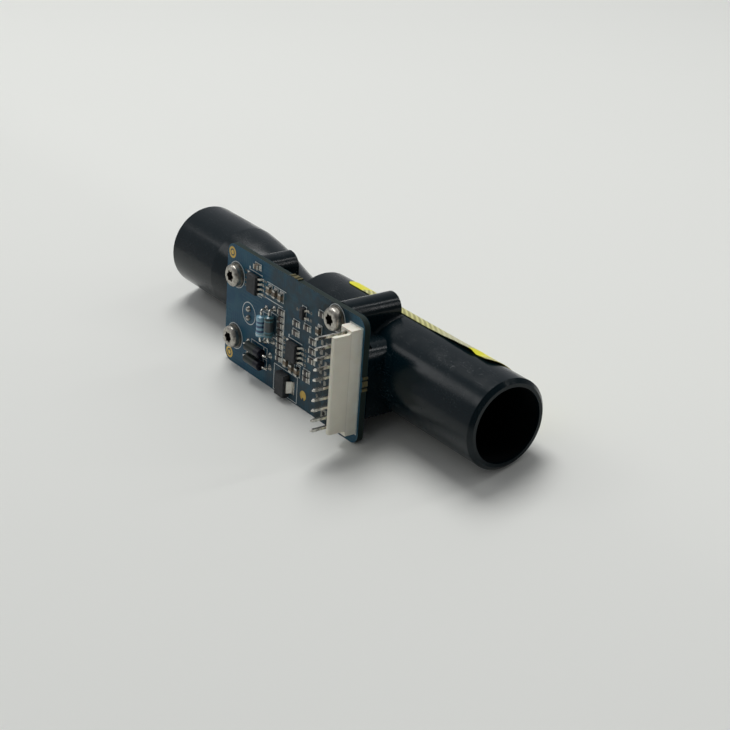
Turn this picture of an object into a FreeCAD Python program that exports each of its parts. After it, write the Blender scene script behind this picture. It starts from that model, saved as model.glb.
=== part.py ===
import FreeCAD, Part
import math
import os

# Ventilator flow sensor: a breathing tube with a narrow throat and a circuit board beside it.
# Millimetres. The origin is on the tube axis at the face of the outlet port.
# +X points out of the outlet port, +Z is up, and the board faces -Y.

V = FreeCAD.Vector
ORIGIN = V(0, 0, 0)
X_AXIS = V(1, 0, 0)
Y_AXIS = V(0, 1, 0)
Z_AXIS = V(0, 0, 1)

# Fits between pieces
slip = 0.05            # gap between a piece and the hole it is glued or pressed into
wire_slip = 0.1        # gap round a wire in its hole

# Breathing tube
port_radius = 11.0     # outside of both ports, the 22 mm breathing system size
bore_radius = 9.2
lip = 0.95             # chamfer on the outer edge of each port
outlet_length = 71.4   # outlet port face to the rim of the large cylinder
tube_length = 126.0
inlet_port_length = 20.0
throat_radius = 4.3
throat_wall = 1.7
contraction_shape = 0.42  # share of the narrowing still to come half way along it
spigot_length = 7.0
straight_bore = 24.0   # depth of the straight bore in the outlet port
rim_recess_depth = 6.0
rim_wall = 1.8
ring_section = 0.5     # half the width of the seal on the spigot

# Circuit board
board_length = 57.5
board_height = 31.6
board_thick = 1.6
board_corner = 2.8
board_standoff = 3.5   # tube surface to the back of the board
board_overhang = 18.8  # how far the board reaches past the rim of the large cylinder
tab_width = 3.6        # remains of the tabs that held the board in its panel
tab_height = 0.35

# Screws and bosses
screw_radius = 1.45
screw_length = 7.5
head_radius = 2.8
head_height = 1.8
head_flat = 1.95       # radius of the flat face of the head
head_round = 0.9       # depth of the rounding from that face to the side
socket_radius = 1.3    # middle of the six waves of the drive socket
socket_wave = 0.22
socket_depth = 1.2
washer_radius = 3.1
washer_thick = 0.35
boss_radius = 3.6
insert_radius = 2.1
insert_length = 6.0
left_screw_inset = 4.5
left_screw_rise = 8.25
right_screw_inset = 10.9
right_screw_rise = 12.4
boss_web = 3.2
boss_fillet = 0.7

# Saddle block on the large cylinder
saddle_length = 36.0
saddle_top = 8.3       # above and below the tube axis
saddle_bottom = 9.0
saddle_wall = 1.8
saddle_corner = 4.3    # rounding of the upper corner below the header
saddle_gap = 0.3       # between the end wall and the back of the board
saddle_setback = 2.3   # room behind the board for the solder side of the header

# Flow probe
probe_inset = 10.4     # from the left edge of the board
neck_radius = 3.2
plug_radius = 2.0
flange_radius = 2.9
flange_thick = 1.0
seal_thick = 0.6
post_radius = 0.3
post_spacing = 2.4
post_tip = 1.4         # how far the posts end short of the tube axis
neck_length = 3.6      # from the throat to the seat of the plug

# Pin header
pin_count = 10
pin_pitch = 2.54
pin_side = 0.64
pin_height = 11.5      # board front to pin tip
pin_tail = 1.7         # board back to the end of the tail
pin_inset = 3.0        # from the right edge of the board
header_rise = 1.1      # middle pin place above the middle of the board
base_left = 2.4        # pins to the sides of the base
base_right = 2.05      # the lock wall is flush with this side
base_height = 3.0
base_above = 0.9       # base beyond the first pin
base_below = 2.6       # base beyond the last pin
lock_above = 0.15      # lock wall beyond the first pin
lock_below = 1.2       # lock wall beyond the last pin
lock_thick = 0.95
lock_height = 7.7
lock_fillet = 0.7      # where the ends of the lock wall run into the base

# Parts on the board
chip_length = 2.0
chip_width = 1.2
chip_height = 0.55
chip_end = 0.45
capacitor_height = 0.9
resistor_length = 5.6
resistor_radius = 1.2
diode_length = 6.6
diode_radius = 1.25
axial_wire_radius = 0.3
axial_gap = 0.3        # under the bodies of the wired parts
axial_bend = 0.6
amplifier_width = 3.9
amplifier_tall = 4.9
amplifier_pitch = 1.27
transistor_width = 1.5
transistor_tall = 3.0
block_width = 3.8
block_tall = 6.0
amplifier_lead = {"shoulder": 0.4, "reach": 1.25, "rise": 0.9, "width": 0.48, "thick": 0.2, "foot": 0.55}
transistor_lead = {"shoulder": 0.2, "reach": 0.85, "rise": 0.6, "width": 0.45, "thick": 0.15, "foot": 0.4}
block_lead = {"shoulder": 0.35, "reach": 1.5, "rise": 1.3, "width": 3.1, "thick": 0.25, "foot": 0.6}

# Label
label_length = 55.0
label_start = 9.0      # from the outlet face
label_thick = 0.15
label_wrap = 112.0     # degrees of the tube that the label covers
label_edge = 85.0      # degrees from +Y up to the near edge

# Places worked out from the sizes above
inlet_x = -tube_length
shoulder_x = inlet_x + inlet_port_length
rim_x = -outlet_length
spigot_radius = throat_radius + throat_wall
groove_radius = spigot_radius - 2 * ring_section + 0.15
ring_x = rim_x + spigot_length / 2
socket_end_x = rim_x + spigot_length + 0.3
board_back_y = -(port_radius + board_standoff)
board_front_y = board_back_y - board_thick
board_left_x = rim_x - board_overhang
board_right_x = board_left_x + board_length
saddle_front_y = board_back_y + saddle_setback
saddle_left_x = board_right_x - saddle_length
left_screw_x = board_left_x + left_screw_inset
right_screw_x = board_right_x - right_screw_inset
probe_x = board_left_x + probe_inset
probe_seat_y = -(spigot_radius + neck_length)
flange_y = probe_seat_y - seal_thick
pin_x = board_right_x - pin_inset
left_screws = [(left_screw_x, left_screw_rise), (left_screw_x, -left_screw_rise)]
right_screw = (right_screw_x, right_screw_rise)
screw_places = left_screws + [right_screw]
post_places = [(probe_x, post_spacing / 2), (probe_x, -post_spacing / 2)]
pin_rises = [header_rise + ((pin_count - 1) / 2 - k) * pin_pitch for k in range(pin_count)]
resistor_reach = resistor_length / 2 + 1.5
diode_reach = diode_length / 2 + 1.6
eight_sides = [(k + 0.5) * math.pi / 4 for k in range(8)]  # corners of the section of a wire


def column(inset, rises, upright=False):
    # Places at one distance from the left edge of the board: (x, z, stands upright).
    return [(board_left_x + inset, rise, upright) for rise in rises]


# Where the parts sit on the board
amplifier_places = [(board_left_x + 12.8, 8.9), (board_left_x + 30.75, -2.3)]
transistor_place = (board_left_x + 33.8, 8.85)
block_place = (board_left_x + 27.5, -12.0)
resistor_places = column(18.0, [-0.2], True) + column(21.4, [0.9], True)
diode_places = column(15.6, [-7.5, -10.7])
resistor_chips = (
    column(24.4, [5.6 - 1.75 * k for k in range(8)])
    + column(30.9, [5.1, 2.65])
    + column(35.5, [5.7])
    + column(37.9, [3.1, 0.6, -1.9])
    + column(36.1, [-5.8, -7.4])
    + column(41.1, [11.2])
)
capacitor_chips = (
    column(19.3, [9.4], True)
    + column(21.8, [9.4], True)
    + column(24.3, [9.4], True)
    + column(13.7, [13.6])
    + column(27.8, [-6.3], True)
    + column(30.2, [-6.9], True)
    + column(32.6, [-6.9], True)
    + column(40.4, [6.9], True)
)


def cylinder_y(x, z, radius, y_from, y_to):
    return Part.makeCylinder(radius, y_to - y_from, V(x, y_from, z), Y_AXIS)


def cylinder_x(radius, x_from, x_to):
    return Part.makeCylinder(radius, x_to - x_from, V(x_from, 0, 0), X_AXIS)


def box(x_from, x_to, y_from, y_to, z_from, z_to):
    return Part.makeBox(x_to - x_from, y_to - y_from, z_to - z_from, V(x_from, y_from, z_from))


def closed_face(points):
    return Part.Face(Part.makePolygon(points + [points[0]]))


def rectangle(x, y, z, half_x, half_z):
    # An outline that lies parallel to the board.
    points = [V(x - half_x, y, z - half_z), V(x + half_x, y, z - half_z),
              V(x + half_x, y, z + half_z), V(x - half_x, y, z + half_z)]
    return Part.makePolygon(points + [points[0]])


def turned(steps):
    # Spins a closed outline about the tube axis. A step of two numbers is a straight run to that
    # point (along the axis, radius); a step of four is an arc by way of its first point.
    edges = []
    here = V(steps[-1][-2], steps[-1][-1], 0)
    for step in steps:
        there = V(step[-2], step[-1], 0)
        if len(step) == 4:
            edges.append(Part.Arc(here, V(step[0], step[1], 0), there).toShape())
        else:
            edges.append(Part.makeLine(here, there))
        here = there
    return Part.Face(Part.Wire(edges)).revolve(ORIGIN, X_AXIS, 360)


def group(shapes):
    return Part.makeCompound(shapes)


def contraction(start_radius, end_radius):
    # The narrowing from the inlet port to the throat: two arcs that meet smoothly half way, the second
    # of them running out parallel to the axis.
    start = V(shoulder_x, start_radius, 0)
    end = V(rim_x, end_radius, 0)
    meet = V((shoulder_x + rim_x) / 2, end_radius + contraction_shape * (start_radius - end_radius), 0)
    step = end - meet
    end_centre = end + V(0, -step.dot(step) / (2 * step.y), 0)
    normal = (meet - end_centre).normalize()
    back = start - meet
    start_centre = meet + normal * (back.dot(back) / (2 * normal.dot(back)))
    steps = []
    for centre, first, last in ((start_centre, start, meet), (end_centre, meet, end)):
        middle = centre + ((first - centre) + (last - centre)).normalize() * (first - centre).Length
        steps.append((middle.x, middle.y, last.x, last.y))
    return steps


def upright_boss(x, rise, base):
    # A round-topped pillar that runs from the back of the board to the middle of the tube.
    pillar = cylinder_y(x, rise, boss_radius, board_back_y, 0)
    low, high = sorted((base, rise))
    return pillar.fuse(box(x - boss_radius, x + boss_radius, board_back_y, 0, low, high))


def insert_hole(x, rise):
    return cylinder_y(x, rise, insert_radius + slip, board_back_y, board_back_y + insert_length + 2.0)


def board_hole(x, z, radius):
    return cylinder_y(x, z, radius, board_front_y, board_back_y)


def small_hole(x, z, radius):
    # A hole for a pin or a wire, eight-sided to keep its mesh light.
    points = [V(x + radius * math.cos(a), board_front_y, z + radius * math.sin(a)) for a in eight_sides]
    return closed_face(points).extrude(V(0, board_thick, 0))


# Inlet port, contraction and spigot in one moulding, with the two left bosses and the probe neck
def make_inlet_cone():
    outside = turned([
        (inlet_x, port_radius - lip),
        (inlet_x + lip, port_radius),
        (shoulder_x, port_radius),
        *contraction(port_radius, spigot_radius),
        (rim_x + spigot_length, spigot_radius),
        (rim_x + spigot_length, 0),
        (inlet_x, 0),
    ])
    bore = turned([
        (inlet_x, bore_radius),
        (shoulder_x, bore_radius),
        *contraction(bore_radius, throat_radius),
        (rim_x + spigot_length, throat_radius),
        (rim_x + spigot_length, 0),
        (inlet_x, 0),
    ])
    groove = cylinder_x(spigot_radius + 1.0, ring_x - ring_section, ring_x + ring_section)
    groove = groove.cut(cylinder_x(groove_radius, ring_x - 1.0, ring_x + 1.0))
    web = box(left_screw_x - boss_web / 2, left_screw_x + boss_web / 2, board_back_y + 1.0, 0,
              -left_screw_rise, left_screw_rise)
    neck = cylinder_y(probe_x, 0, neck_radius, probe_seat_y, 0)
    bosses = [upright_boss(x, rise, rise / 2) for x, rise in left_screws]
    cone = outside.multiFuse([web, neck] + bosses)
    holes = [bore, groove, cylinder_y(probe_x, 0, plug_radius + slip, probe_seat_y, 0)]
    holes += [insert_hole(x, rise) for x, rise in left_screws]
    for hole in holes:
        cone = cone.cut(hole)
    return cone.removeSplitter()


# Seal between the spigot and its socket, drawn as it sits squeezed in the groove
def make_joint_ring():
    half = ring_section - slip
    inner = groove_radius + slip
    outer = spigot_radius + slip / 2
    return turned([
        (ring_x - half, inner),
        (ring_x - half, outer - 0.2),
        (ring_x - half + 0.2, outer),
        (ring_x + half - 0.2, outer),
        (ring_x + half, outer - 0.2),
        (ring_x + half, inner),
    ])


# Large cylinder with its socket, diffuser and outlet port, the saddle block and the right boss
def make_tube_body():
    tube = turned([
        (0, port_radius - lip),
        (-lip, port_radius),
        (rim_x + 0.4, port_radius),
        (rim_x, port_radius - 0.4),
        (rim_x, port_radius - rim_wall),
        (rim_x + rim_recess_depth, port_radius - rim_wall),
        (rim_x + rim_recess_depth, spigot_radius + rim_wall),
        (rim_x, spigot_radius + rim_wall),
        (rim_x, 0),
        (0, 0),
    ])
    body = tube.fuse(saddle_and_boss()).removeSplitter()
    body = body.makeFillet(boss_fillet, boss_roots(body))
    bore = turned([
        (rim_x, spigot_radius + slip),
        (socket_end_x, spigot_radius + slip),
        (socket_end_x, throat_radius),
        (-straight_bore, bore_radius),
        (0, bore_radius),
        (0, 0),
        (rim_x, 0),
    ])
    return body.cut(bore).cut(insert_hole(*right_screw)).removeSplitter()


def saddle_and_boss():
    # A four-sided frame with a rib, open towards the board, and the boss that rises from its top.
    # Its right end wall comes up close behind the board, and the rest stands back from it.
    roof = saddle_top - saddle_wall
    sill = saddle_wall - saddle_bottom
    wall_y = board_back_y + saddle_gap
    frame = box(saddle_left_x, board_right_x, wall_y, 0, -saddle_bottom, saddle_top)
    upper_corner = [edge for edge in frame.Edges
                    if abs(edge.BoundBox.XMin - board_right_x) < 0.01
                    and abs(edge.BoundBox.ZMin - saddle_top) < 0.01]
    frame = frame.makeFillet(saddle_corner, upper_corner)
    frame = frame.cut(box(saddle_left_x, board_right_x - saddle_wall, wall_y, saddle_front_y,
                          -saddle_bottom, saddle_top))
    pocket = box(saddle_left_x + saddle_wall, board_right_x - saddle_wall, saddle_front_y, 0, sill, roof)
    rib_x = (saddle_left_x + board_right_x) / 2
    rib = box(rib_x - saddle_wall / 2, rib_x + saddle_wall / 2, saddle_front_y, 0, sill, roof)
    shape = frame.cut(pocket).multiFuse([rib, upright_boss(*right_screw, roof)])
    return shape.cut(cylinder_x(port_radius - rim_wall / 2, rim_x, 0))


def boss_roots(body):
    # The two edges where the sides of the boss run down onto the round of the tube.
    roots = []
    for edge in body.Edges:
        ends = [edge.valueAt(edge.FirstParameter), edge.valueAt(edge.LastParameter)]
        on_tube = all(abs(math.hypot(end.y, end.z) - port_radius) < 0.01 for end in ends)
        on_side = all(abs(abs(end.x - right_screw_x) - boss_radius) < 0.01 for end in ends)
        if on_tube and on_side and ends[0].z > 0:
            roots.append(edge)
    return roots


# Flow probe: a plug in the neck, its seal, two posts and the heated film between their tips
def make_probe_plug():
    plug = cylinder_y(probe_x, 0, flange_radius, flange_y - flange_thick, flange_y)
    plug = plug.fuse(cylinder_y(probe_x, 0, plug_radius, flange_y, -throat_radius - 0.8))
    for x, z in post_places:
        plug = plug.cut(cylinder_y(x, z, post_radius + slip, board_back_y, 0))
    return plug.removeSplitter()


def make_probe_seal():
    ring = cylinder_y(probe_x, 0, flange_radius, flange_y, probe_seat_y)
    return ring.cut(cylinder_y(probe_x, 0, plug_radius + slip, flange_y, probe_seat_y))


def make_probe_posts():
    return group([cylinder_y(x, z, post_radius, board_front_y - 0.7, -post_tip) for x, z in post_places])


def make_film_element():
    half = post_spacing / 2 + post_radius
    return box(probe_x - 0.2, probe_x + 0.2, -post_tip, post_tip, -half, half)


# Circuit board with rounded corners, the stubs of its panel tabs and every hole
def make_circuit_board():
    half = board_height / 2
    board = box(board_left_x, board_right_x, board_front_y, board_back_y, -half, half)
    corners = [edge for edge in board.Edges if abs(edge.tangentAt(edge.FirstParameter).y) > 0.9]
    board = board.makeFillet(board_corner, corners)
    board = board.multiFuse(break_tabs())
    holes = [board_hole(x, z, screw_radius + 0.2) for x, z in screw_places]
    holes += [board_hole(x, z, post_radius + wire_slip) for x, z in post_places]
    holes += [small_hole(pin_x, z, pin_side * 0.72 + wire_slip) for z in pin_rises]
    holes += [small_hole(x, z, axial_wire_radius + wire_slip) for x, z in wire_feet()]
    for hole in holes:
        board = board.cut(hole)
    return board.removeSplitter()


def break_tabs():
    # Stubs in the middle of the top edge and of the right edge, each notched by two drill marks.
    half = tab_width / 2
    top = board_height / 2
    middle_x = (board_left_x + board_right_x) / 2
    upper = box(middle_x - half, middle_x + half, board_front_y, board_back_y, top, top + tab_height)
    right = box(board_right_x, board_right_x + tab_height, board_front_y, board_back_y, -half, half)
    for side in (-half / 2, half / 2):
        upper = upper.cut(board_hole(middle_x + side, top + tab_height, 0.3))
        right = right.cut(board_hole(board_right_x + tab_height, side, 0.3))
    return [upper, right]


# Screws, washers and threaded inserts
def make_board_screws():
    top_y = board_front_y - washer_thick - head_height
    return group([pan_screw().translated(V(x, top_y, z)) for x, z in screw_places])


def pan_screw():
    # The head faces -Y with its flat at y = 0.
    tip = head_height + screw_length
    shoulder = V(head_flat + 0.72 * (head_radius - head_flat), 0.3 * head_round, 0)
    rounding = Part.Arc(V(head_flat, 0, 0), shoulder, V(head_radius, head_round, 0))
    points = [V(head_radius, head_round, 0), V(head_radius, head_height, 0), V(screw_radius, head_height, 0),
              V(screw_radius, tip - 0.5, 0), V(screw_radius - 0.5, tip, 0), V(0, tip, 0),
              ORIGIN, V(head_flat, 0, 0)]
    runs = [Part.makeLine(start, end) for start, end in zip(points, points[1:])]
    screw = Part.Face(Part.Wire([rounding.toShape()] + runs)).revolve(ORIGIN, Y_AXIS, 360)
    return screw.cut(star_socket())


def star_socket():
    # A six-lobed outline drawn as a wave round a circle.
    points = []
    for k in range(24):
        angle = k * math.pi / 12
        radius = socket_radius + socket_wave * math.cos(6 * angle)
        points.append(V(radius * math.cos(angle), 0, radius * math.sin(angle)))
    return closed_face(points).extrude(V(0, socket_depth, 0))


def make_screw_washers():
    washers = []
    for x, z in screw_places:
        ring = cylinder_y(x, z, washer_radius, board_front_y - washer_thick, board_front_y)
        hole = cylinder_y(x, z, screw_radius + 0.15, board_front_y - washer_thick, board_front_y)
        washers.append(ring.cut(hole))
    return group(washers)


def make_thread_inserts():
    end_y = board_back_y + insert_length
    return group([cylinder_y(x, z, insert_radius, board_back_y, end_y)
                  .cut(cylinder_y(x, z, screw_radius + slip, board_back_y, end_y)) for x, z in screw_places])


# Friction-lock pin header: a base, a tall wall with a latch near its top, and square pins
def make_header_housing():
    base = [(-base_left, 0), (-base_left, base_height - 0.5), (-base_left + 0.5, base_height),
            (base_right, base_height), (base_right, 0)]
    lock_inner = base_right - lock_thick
    lock = [(lock_inner, 0), (lock_inner, lock_height - 2.0), (lock_inner - 0.35, lock_height - 1.5),
            (lock_inner - 0.1, lock_height), (base_right - 0.25, lock_height),
            (base_right, lock_height - 0.25), (base_right, 0)]
    housing = header_bar(base, base_below, base_above)
    housing = housing.fuse(header_bar(lock, lock_below, lock_above)).removeSplitter()
    housing = housing.makeFillet(lock_fillet, lock_roots(housing))
    half = pin_side / 2 + slip / 2
    for z in pin_rises:
        housing = housing.cut(box(pin_x - half, pin_x + half, board_front_y - base_height, board_front_y,
                                  z - half, z + half))
    for z in pin_rises[:-1]:
        middle = z - pin_pitch / 2
        housing = housing.cut(box(pin_x - base_left, pin_x - base_left + 0.6, board_front_y - base_height,
                                  board_front_y, middle - 0.35, middle + 0.35))
    return housing


def header_bar(profile, below, above):
    # An outline (distance across from the pins, height over the board) drawn out along the row of pins.
    low = pin_rises[-1] - below
    points = [V(pin_x + across, board_front_y - up, low) for across, up in profile]
    return closed_face(points).extrude(V(0, 0, pin_rises[0] + above - low))


def lock_roots(housing):
    # The two short edges where the ends of the lock wall stand on the base.
    base_y = board_front_y - base_height
    ends = (pin_rises[0] + lock_above, pin_rises[-1] - lock_below)
    return [edge for edge in housing.Edges
            if all(abs(point.Y - base_y) < 0.01 for point in edge.Vertexes)
            and any(all(abs(point.Z - end) < 0.01 for point in edge.Vertexes) for end in ends)]


def make_header_pins():
    half = pin_side / 2
    tip_y = board_front_y - pin_height
    tail_y = board_back_y + pin_tail
    steps = [(tip_y, 0.45 * half), (tip_y + 0.6, half), (tail_y - 0.4, half), (tail_y, 0.6 * half)]
    return group([Part.makeLoft([rectangle(pin_x, y, z, side, side) for y, side in steps], True, True)
                  for z in pin_rises])


# Packages with flat bent leads
def moulded_body(x, z, wide, tall, levels):
    # Widest at the parting line, drawn in a little at the bottom and the top level.
    low, middle, high = levels
    draft = 0.12
    steps = [(low, draft), (middle, 0), (high, draft)]
    return Part.makeLoft([rectangle(x, board_front_y - level, z, wide / 2 - inset, tall / 2 - inset)
                          for level, inset in steps], True, True)


def gull_lead(x, z, side, shoulder, reach, rise, width, thick, foot):
    # One lead from the side of a package at x: out, down the slope and along the board.
    lean = 0.6 * thick
    profile = [(0, rise), (shoulder, rise), (reach - foot, thick), (reach, thick), (reach, 0),
               (reach - foot - lean, 0), (shoulder - lean, rise - thick), (0, rise - thick)]
    points = [V(x + side * out, board_front_y - up, z - width / 2) for out, up in profile]
    return closed_face(points).extrude(V(0, 0, width))


def make_amplifier_bodies():
    return group([moulded_body(x, z, amplifier_width, amplifier_tall, (0.15, 0.8, 1.5))
                  for x, z in amplifier_places])


def make_amplifier_leads():
    steps = [(k - 1.5) * amplifier_pitch for k in range(4)]
    return group([gull_lead(x + side * amplifier_width / 2, z + step, side, **amplifier_lead)
                  for x, z in amplifier_places for side in (1, -1) for step in steps])


def make_transistor_body():
    return moulded_body(*transistor_place, transistor_width, transistor_tall, (0.1, 0.525, 1.05))


def make_transistor_leads():
    x, z = transistor_place
    half = transistor_width / 2
    places = [(1, 0.95), (1, -0.95), (-1, 0)]
    return group([gull_lead(x + side * half, z + step, side, **transistor_lead) for side, step in places])


def make_power_block():
    return moulded_body(*block_place, block_width, block_tall, (0.1, 1.175, 2.0))


def make_power_tabs():
    x, z = block_place
    return group([gull_lead(x + side * block_width / 2, z, side, **block_lead) for side in (1, -1)])


# Chip resistors and capacitors
def chip_slice(place, start, end, height):
    # A slice of a chip between two distances along its length, standing on the board.
    x, z, upright = place
    half = chip_width / 2
    top_y = board_front_y - height
    if upright:
        return box(x - half, x + half, top_y, board_front_y, z + start, z + end)
    return box(x + start, x + end, top_y, board_front_y, z - half, z + half)


def chip_middles(places, height):
    inner = chip_length / 2 - chip_end
    return group([chip_slice(place, -inner, inner, height) for place in places])


def chip_ends(places, height):
    outer = chip_length / 2
    inner = outer - chip_end
    return [chip_slice(place, start, end, height)
            for place in places for start, end in ((-outer, -inner), (inner, outer))]


def make_resistor_chips():
    return chip_middles(resistor_chips, chip_height)


def make_capacitor_chips():
    return chip_middles(capacitor_chips, capacitor_height)


def make_chip_ends():
    return group(chip_ends(resistor_chips, chip_height) + chip_ends(capacitor_chips, capacitor_height))


# Wired resistors and diodes that lie over the board
def lay_over_board(shape, place, height):
    # Moves a shape built along the X axis to its place and stands it upright if need be.
    x, z, upright = place
    if upright:
        shape = shape.rotated(ORIGIN, Y_AXIS, -90)
    return shape.translated(V(x, board_front_y - height, z))


def spun_body(profile):
    # Half of a symmetrical outline, from the end face to the middle: (distance in from the end, radius).
    near = [V(-along, radius, 0) for along, radius in profile]
    far = [V(along, radius, 0) for along, radius in reversed(profile)]
    points = [V(near[0].x, 0, 0)] + near + far + [V(far[-1].x, 0, 0)]
    return closed_face(points).revolve(ORIGIN, X_AXIS, 360)


def bent_wire(start, reach, height, side):
    # Out of the body end, round a bend and down through the board, with an eight-sided section.
    rings = [wire_ring(start, 0, 0)]
    for turn in (0, 30, 60, 90):
        angle = math.radians(turn)
        along = reach - axial_bend * (1 - math.sin(angle))
        rings.append(wire_ring(along, axial_bend * (1 - math.cos(angle)), turn))
    rings.append(wire_ring(reach, height + board_thick + 0.6, 90))
    wire = Part.makeLoft(rings, True, True)
    return wire if side > 0 else wire.mirror(ORIGIN, X_AXIS)


def wire_ring(x, y, turn):
    # The section of a wire that has turned by so many degrees from X towards Y.
    points = [V(0, axial_wire_radius * math.cos(a), axial_wire_radius * math.sin(a)) for a in eight_sides]
    ring = Part.makePolygon(points + [points[0]])
    return ring.rotated(ORIGIN, Z_AXIS, turn).translated(V(x, y, 0))


def wire_feet():
    feet = [(x, z + side * resistor_reach) for x, z, _ in resistor_places for side in (1, -1)]
    return feet + [(x + side * diode_reach, z) for x, z, _ in diode_places for side in (1, -1)]


def make_bridge_resistors():
    # Dipped metal-film bodies, swollen over the end caps.
    half = resistor_length / 2
    waist = 0.94 * resistor_radius
    body = spun_body([(half, 0.55 * waist), (half - 0.25, 0.95 * resistor_radius),
                      (half - 0.8, resistor_radius), (half - 1.7, waist)])
    return group([lay_over_board(body, place, resistor_radius + axial_gap) for place in resistor_places])


def make_bridge_wires():
    height = resistor_radius + axial_gap
    return group([lay_over_board(bent_wire(resistor_length / 2, resistor_reach, height, side), place, height)
                  for place in resistor_places for side in (1, -1)])


def make_diode_bodies():
    half = diode_length / 2
    body = spun_body([(half, diode_radius - 0.25), (half - 0.25, diode_radius)])
    return group([lay_over_board(body, place, diode_radius + axial_gap) for place in diode_places])


def make_diode_wires():
    height = diode_radius + axial_gap
    return group([lay_over_board(bent_wire(diode_length / 2, diode_reach, height, side), place, height)
                  for place in diode_places for side in (1, -1)])


# Thin label wrapped over the top and the back of the large cylinder
def make_label():
    inner = port_radius + slip
    outer = inner + label_thick
    end_x = -label_start
    start_x = end_x - label_length
    strip = closed_face([V(start_x, inner, 0), V(end_x, inner, 0), V(end_x, outer, 0), V(start_x, outer, 0)])
    strip = strip.rotated(ORIGIN, X_AXIS, label_edge)
    return strip.revolve(ORIGIN, X_AXIS, -label_wrap)


makers = {
    "inlet_cone": make_inlet_cone,
    "tube_body": make_tube_body,
    "joint_ring": make_joint_ring,
    "probe_plug": make_probe_plug,
    "probe_seal": make_probe_seal,
    "probe_posts": make_probe_posts,
    "film_element": make_film_element,
    "circuit_board": make_circuit_board,
    "board_screws": make_board_screws,
    "screw_washers": make_screw_washers,
    "thread_inserts": make_thread_inserts,
    "header_housing": make_header_housing,
    "header_pins": make_header_pins,
    "amplifier_bodies": make_amplifier_bodies,
    "amplifier_leads": make_amplifier_leads,
    "transistor_body": make_transistor_body,
    "transistor_leads": make_transistor_leads,
    "power_block": make_power_block,
    "power_tabs": make_power_tabs,
    "resistor_chips": make_resistor_chips,
    "capacitor_chips": make_capacitor_chips,
    "chip_ends": make_chip_ends,
    "bridge_resistors": make_bridge_resistors,
    "bridge_wires": make_bridge_wires,
    "diode_bodies": make_diode_bodies,
    "diode_wires": make_diode_wires,
    "label": make_label,
}

os.makedirs("parts", exist_ok=True)
for node, make in makers.items():
    shape = make()
    shape.exportStep(f"parts/{node}.step")
    print(node, "solids", len(shape.Solids), "valid", shape.isValid(), "volume", round(shape.Volume, 2))
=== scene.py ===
import bpy
import bmesh
import math
from mathutils import Matrix, Vector


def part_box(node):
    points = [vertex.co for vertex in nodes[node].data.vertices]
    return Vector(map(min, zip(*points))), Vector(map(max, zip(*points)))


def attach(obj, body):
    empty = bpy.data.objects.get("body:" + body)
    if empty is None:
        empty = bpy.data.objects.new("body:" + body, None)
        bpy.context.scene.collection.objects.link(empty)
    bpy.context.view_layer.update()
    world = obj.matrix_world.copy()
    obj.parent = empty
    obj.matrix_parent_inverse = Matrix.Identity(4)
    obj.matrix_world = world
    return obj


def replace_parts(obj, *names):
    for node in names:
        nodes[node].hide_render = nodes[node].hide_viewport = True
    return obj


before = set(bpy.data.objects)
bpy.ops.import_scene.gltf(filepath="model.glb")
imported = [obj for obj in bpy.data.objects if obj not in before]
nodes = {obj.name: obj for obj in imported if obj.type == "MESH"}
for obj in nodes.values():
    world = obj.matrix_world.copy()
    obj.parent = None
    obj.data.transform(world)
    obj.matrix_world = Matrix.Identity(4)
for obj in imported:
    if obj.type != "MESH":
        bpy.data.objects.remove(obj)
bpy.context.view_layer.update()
mm = 0.001
boardLow, boardHigh = (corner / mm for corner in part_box("circuit_board"))
frontY = boardLow.y  # the face that carries the parts
backY = boardHigh.y
print("frame loaded:", len(nodes), "nodes")


def paint(red, green, blue, share=1.0):  # screen colour, 0 to 255, as the linear colour a socket takes
    def linear(value):
        part = share * value / 255
        return part / 12.92 if part < 0.04045 else ((part + 0.055) / 1.055) ** 2.4
    return (linear(red), linear(green), linear(blue), 1.0)


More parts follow.
